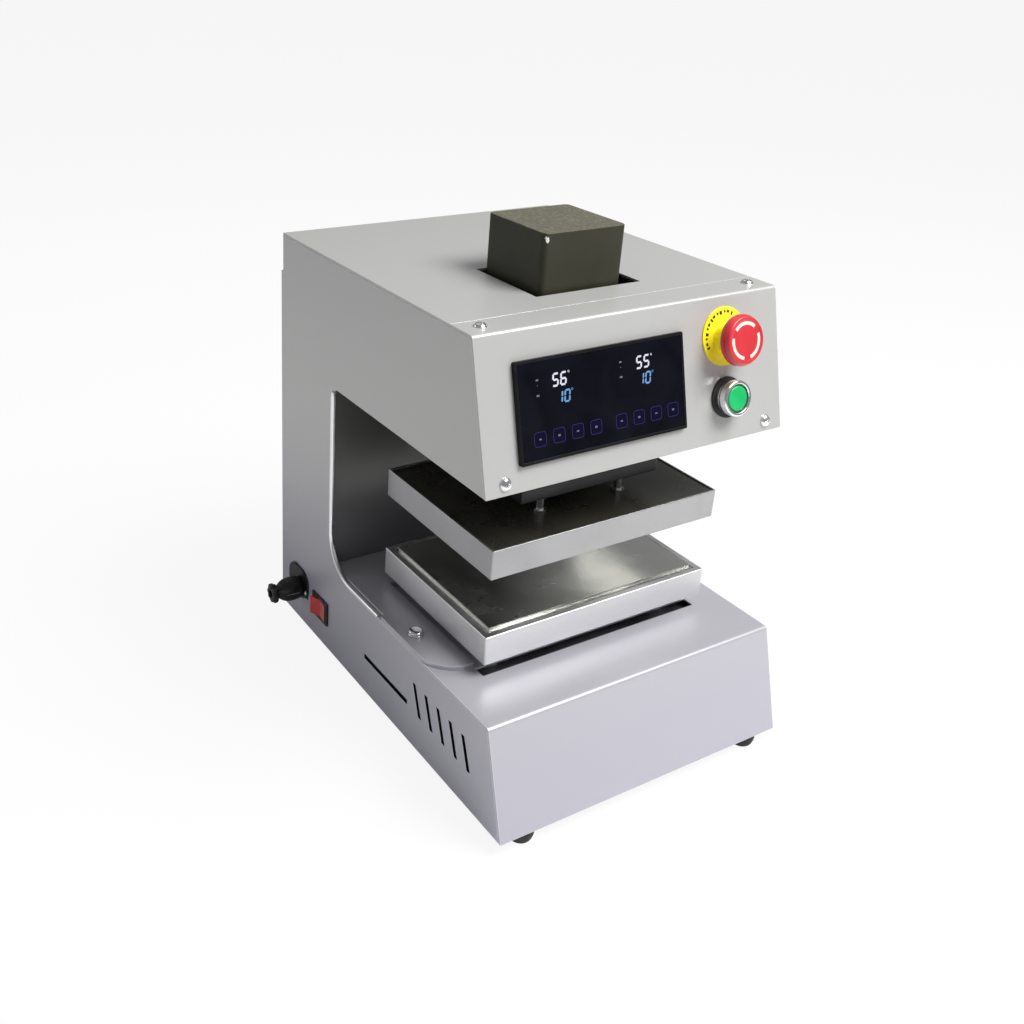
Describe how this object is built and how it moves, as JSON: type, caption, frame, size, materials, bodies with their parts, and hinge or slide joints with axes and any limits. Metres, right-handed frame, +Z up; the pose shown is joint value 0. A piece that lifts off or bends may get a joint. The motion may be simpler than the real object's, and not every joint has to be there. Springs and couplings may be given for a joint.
{
  "type": "hot foil stamper",
  "caption": "Bench-top hot stamping press with a C-shaped sheet-metal body, two heated platens, a screw-driven ram, touch display, start button and emergency stop.",
  "frame": {"origin": "on the table, under the middle of the machine", "axes": "+Z up, +X to the right seen from the front, +Y to the back"},
  "size_m": [0.3345, 0.4006, 0.451],
  "materials": {
    "cover_paint": "satin silver paint",
    "dark_paint": "satin black paint",
    "platen_steel": "satin",
    "dark_plate": "gloss black",
    "polished_plate": "polished",
    "frame_steel": "ground",
    "bright_steel": "polished",
    "bronze": "turned",
    "rubber_black": "matt",
    "board_ceramic": "matt",
    "display_black": "gloss",
    "frame_black": "matt",
    "circuit_green": "matt",
    "legend_yellow": "matt",
    "stop_red": "satin gloss",
    "start_green": "satin gloss",
    "switch_red": "gloss",
    "plug_black": "satin",
    "supply_metal": "plain"
  },
  "bodies": {
    "machine": {"left_side_panel": "cover_paint", "right_side_panel": "cover_paint", "top_cover": "cover_paint", "front_panel": "cover_paint", "head_bottom_cover": "cover_paint", "rear_cover": "cover_paint", "throat_back_panel": "cover_paint", "base_cover": "cover_paint", "bed_plate": "cover_paint", "base_bottom_plate": "cover_paint", "motor_cover": "dark_paint", "rubber_feet": "rubber_black", "left_frame_plate": "frame_steel", "right_frame_plate": "frame_steel", "bearing_plate": "frame_steel", "bed_beam": "frame_steel", "lower_platen_casing": "platen_steel", "lower_heating_plate": "polished_plate", "lower_heaters": "bright_steel", "lower_insulation": "board_ceramic", "lower_platen_posts": "frame_steel", "guide_bushes": "bronze", "thrust_bearing": "bright_steel", "screw_bush": "bronze", "motor_deck": "frame_steel", "gearmotor": "dark_paint", "display_frame": "frame_black", "display_glass": "display_black", "control_board": "circuit_green", "estop_legend_ring": "legend_yellow", "estop_collar": "legend_yellow", "start_button_gasket": "frame_black", "start_button_bezel": "bright_steel", "panel_locknuts": "frame_black", "contact_blocks": "frame_black", "power_inlet": "plug_black", "power_connector": "plug_black", "rocker_frame": "plug_black", "power_supply": "supply_metal", "heater_relays": "plug_black", "cover_screws": "bright_steel", "bed_plate_bolts": "bright_steel"},
    "ram": {"ram_plate": "dark_paint", "platen_studs": "bright_steel", "ram_tube": "bright_steel", "ram_nut": "bronze", "guide_rods": "bright_steel", "upper_platen_casing": "platen_steel", "upper_heating_plate": "polished_plate", "upper_heaters": "bright_steel", "upper_insulation": "board_ceramic", "upper_platen_top_plate": "dark_plate"},
    "screw": {"lead_screw": "frame_steel", "thrust_race": "bright_steel", "screw_gear": "frame_steel"},
    "pinion": {"motor_pinion": "frame_steel"},
    "estop_stem": {"estop_plunger": "stop_red"},
    "estop_mushroom": {"estop_cap": "stop_red"},
    "start_button": {"start_button_cap": "start_green"},
    "power_switch": {"rocker_paddle": "switch_red"}
  },
  "joints": [
    {"name": "ram_slide", "type": "slide", "parent": "machine", "child": "ram", "axis": [0, 0, -1], "range_m": [0, 0.0505]},
    {"name": "screw_spin", "type": "hinge", "parent": "machine", "child": "screw", "pos_m": [0, -0.0365, 0.35], "axis": [0, 0, 1], "range_deg": [0, 4600]},
    {"name": "pinion_spin", "type": "hinge", "parent": "machine", "child": "pinion", "pos_m": [0, -0.0125, 0.385], "axis": [0, 0, 1], "range_deg": [-9200, 0]},
    {"name": "estop_push", "type": "slide", "parent": "machine", "child": "estop_stem", "axis": [0, 0.9666, -0.2563], "range_m": [0, 0.004], "stiffness_N_per_m": 1500},
    {"name": "estop_twist", "type": "hinge", "parent": "estop_stem", "child": "estop_mushroom", "pos_m": [0.0895, -0.13868, 0.37211], "axis": [0, 0.9666, -0.2563], "range_deg": [0, 45], "stiffness_Nm_per_rad": 0.1},
    {"name": "start_push", "type": "slide", "parent": "machine", "child": "start_button", "axis": [0, 0.9666, -0.2563], "range_m": [0, 0.003], "stiffness_N_per_m": 1000},
    {"name": "rocker_tilt", "type": "hinge", "parent": "machine", "child": "power_switch", "pos_m": [-0.15, 0.109, 0.05], "axis": [0, 0, 1], "range_deg": [-18, 0]}
  ],
  "couplings": [
    {"joint": "screw_spin", "follows": "ram_slide", "rad_per_m": 1570.8},
    {"joint": "pinion_spin", "follows": "ram_slide", "rad_per_m": -3141.6}
  ]
}
